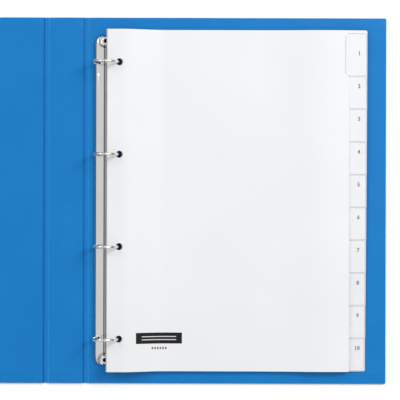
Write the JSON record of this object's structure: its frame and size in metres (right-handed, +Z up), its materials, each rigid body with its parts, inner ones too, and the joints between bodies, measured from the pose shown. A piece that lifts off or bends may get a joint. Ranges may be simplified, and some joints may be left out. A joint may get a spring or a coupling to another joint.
{
  "type": "ring binder",
  "caption": "Open ring binder with foil-covered boards, a wire ring mechanism on an arched housing and a stack of tabbed dividers.",
  "frame": {"origin": "middle of the open spread, on the surface the cover lies on, under the spine's centre line", "axes": "+X across the spread from the front cover towards the back cover, +Y towards the top edge of the covers, +Z up out of the open file"},
  "size_m": [0.5586, 0.3192, 0.029],
  "materials": {
    "blue_foil": "embossed polypropylene foil, satin",
    "blue_liner": "smooth polypropylene foil, satin",
    "greyboard": "plain greyboard",
    "nickel": "nickel-plated sheet steel and wire",
    "white_plastic": "opaque white polypropylene sheet, fine matt",
    "clear_film": "clear reinforcing film"
  },
  "bodies": {
    "back_cover": {"back_outer_cover": "blue_foil", "back_board": "greyboard", "back_inner_liner": "blue_liner", "ring_housing": "nickel", "top_rivet": "nickel", "bottom_rivet": "nickel", "spine_hinge_strip": "blue_foil"},
    "spine": {"spine_outer_cover": "blue_foil", "spine_board": "greyboard", "spine_inner_liner": "blue_liner", "front_hinge_strip": "blue_foil"},
    "front_cover": {"front_outer_cover": "blue_foil", "front_board": "greyboard", "front_inner_liner": "blue_liner"},
    "right_ring_set": {"right_hinge_plate": "nickel", "ring_right_1": "nickel", "ring_right_2": "nickel", "ring_right_3": "nickel", "ring_right_4": "nickel"},
    "left_ring_set": {"left_hinge_plate": "nickel", "ring_left_1": "nickel", "ring_left_2": "nickel", "ring_left_3": "nickel", "ring_left_4": "nickel"},
    "divider_1": {"divider_1": "white_plastic", "tab_film_1": "clear_film"},
    "divider_2": {"divider_2": "white_plastic", "tab_film_2": "clear_film"},
    "divider_3": {"divider_3": "white_plastic", "tab_film_3": "clear_film"},
    "divider_4": {"divider_4": "white_plastic", "tab_film_4": "clear_film"},
    "divider_5": {"divider_5": "white_plastic", "tab_film_5": "clear_film"},
    "divider_6": {"divider_6": "white_plastic", "tab_film_6": "clear_film"},
    "divider_7": {"divider_7": "white_plastic", "tab_film_7": "clear_film"},
    "divider_8": {"divider_8": "white_plastic", "tab_film_8": "clear_film"},
    "divider_9": {"divider_9": "white_plastic", "tab_film_9": "clear_film"},
    "divider_10": {"divider_10": "white_plastic", "tab_film_10": "clear_film"}
  },
  "joints": [
    {"name": "spine_fold", "type": "hinge", "parent": "back_cover", "child": "spine", "pos_m": [0.0173, 0, 0.0006], "axis": [0, 1, 0], "range_deg": [0, 90]},
    {"name": "front_cover_fold", "type": "hinge", "parent": "spine", "child": "front_cover", "pos_m": [-0.0173, 0, 0.0006], "axis": [0, 1, 0], "range_deg": [0, 90]},
    {"name": "right_rings_open", "type": "hinge", "parent": "back_cover", "child": "right_ring_set", "pos_m": [0.0428, 0, 0.0045], "axis": [0, 1, 0], "range_deg": [0, 11]},
    {"name": "left_rings_open", "type": "hinge", "parent": "back_cover", "child": "left_ring_set", "pos_m": [0.0264, 0, 0.0045], "axis": [0, 1, 0], "range_deg": [-11, 0]},
    {"name": "divider_10_turn", "type": "hinge", "parent": "back_cover", "child": "divider_10", "pos_m": [0.0346, 0, 0.0166], "axis": [0, 1, 0], "range_deg": [-17, 0]},
    {"name": "divider_9_turn", "type": "hinge", "parent": "divider_10", "child": "divider_9", "pos_m": [0.0346, 0, 0.0166], "axis": [0, 1, 0], "range_deg": [-17, 0]},
    {"name": "divider_8_turn", "type": "hinge", "parent": "divider_9", "child": "divider_8", "pos_m": [0.0346, 0, 0.0166], "axis": [0, 1, 0], "range_deg": [-17, 0]},
    {"name": "divider_7_turn", "type": "hinge", "parent": "divider_8", "child": "divider_7", "pos_m": [0.0346, 0, 0.0166], "axis": [0, 1, 0], "range_deg": [-17, 0]},
    {"name": "divider_6_turn", "type": "hinge", "parent": "divider_7", "child": "divider_6", "pos_m": [0.0346, 0, 0.0166], "axis": [0, 1, 0], "range_deg": [-17, 0]},
    {"name": "divider_5_turn", "type": "hinge", "parent": "divider_6", "child": "divider_5", "pos_m": [0.0346, 0, 0.0166], "axis": [0, 1, 0], "range_deg": [-17, 0]},
    {"name": "divider_4_turn", "type": "hinge", "parent": "divider_5", "child": "divider_4", "pos_m": [0.0346, 0, 0.0166], "axis": [0, 1, 0], "range_deg": [-17, 0]},
    {"name": "divider_3_turn", "type": "hinge", "parent": "divider_4", "child": "divider_3", "pos_m": [0.0346, 0, 0.0166], "axis": [0, 1, 0], "range_deg": [-17, 0]},
    {"name": "divider_2_turn", "type": "hinge", "parent": "divider_3", "child": "divider_2", "pos_m": [0.0346, 0, 0.0166], "axis": [0, 1, 0], "range_deg": [-17, 0]},
    {"name": "divider_1_turn", "type": "hinge", "parent": "divider_2", "child": "divider_1", "pos_m": [0.0346, 0, 0.0166], "axis": [0, 1, 0], "range_deg": [-17, 0]}
  ],
  "couplings": [
    {"joint": "left_rings_open", "follows": "right_rings_open", "ratio": -1}
  ]
}
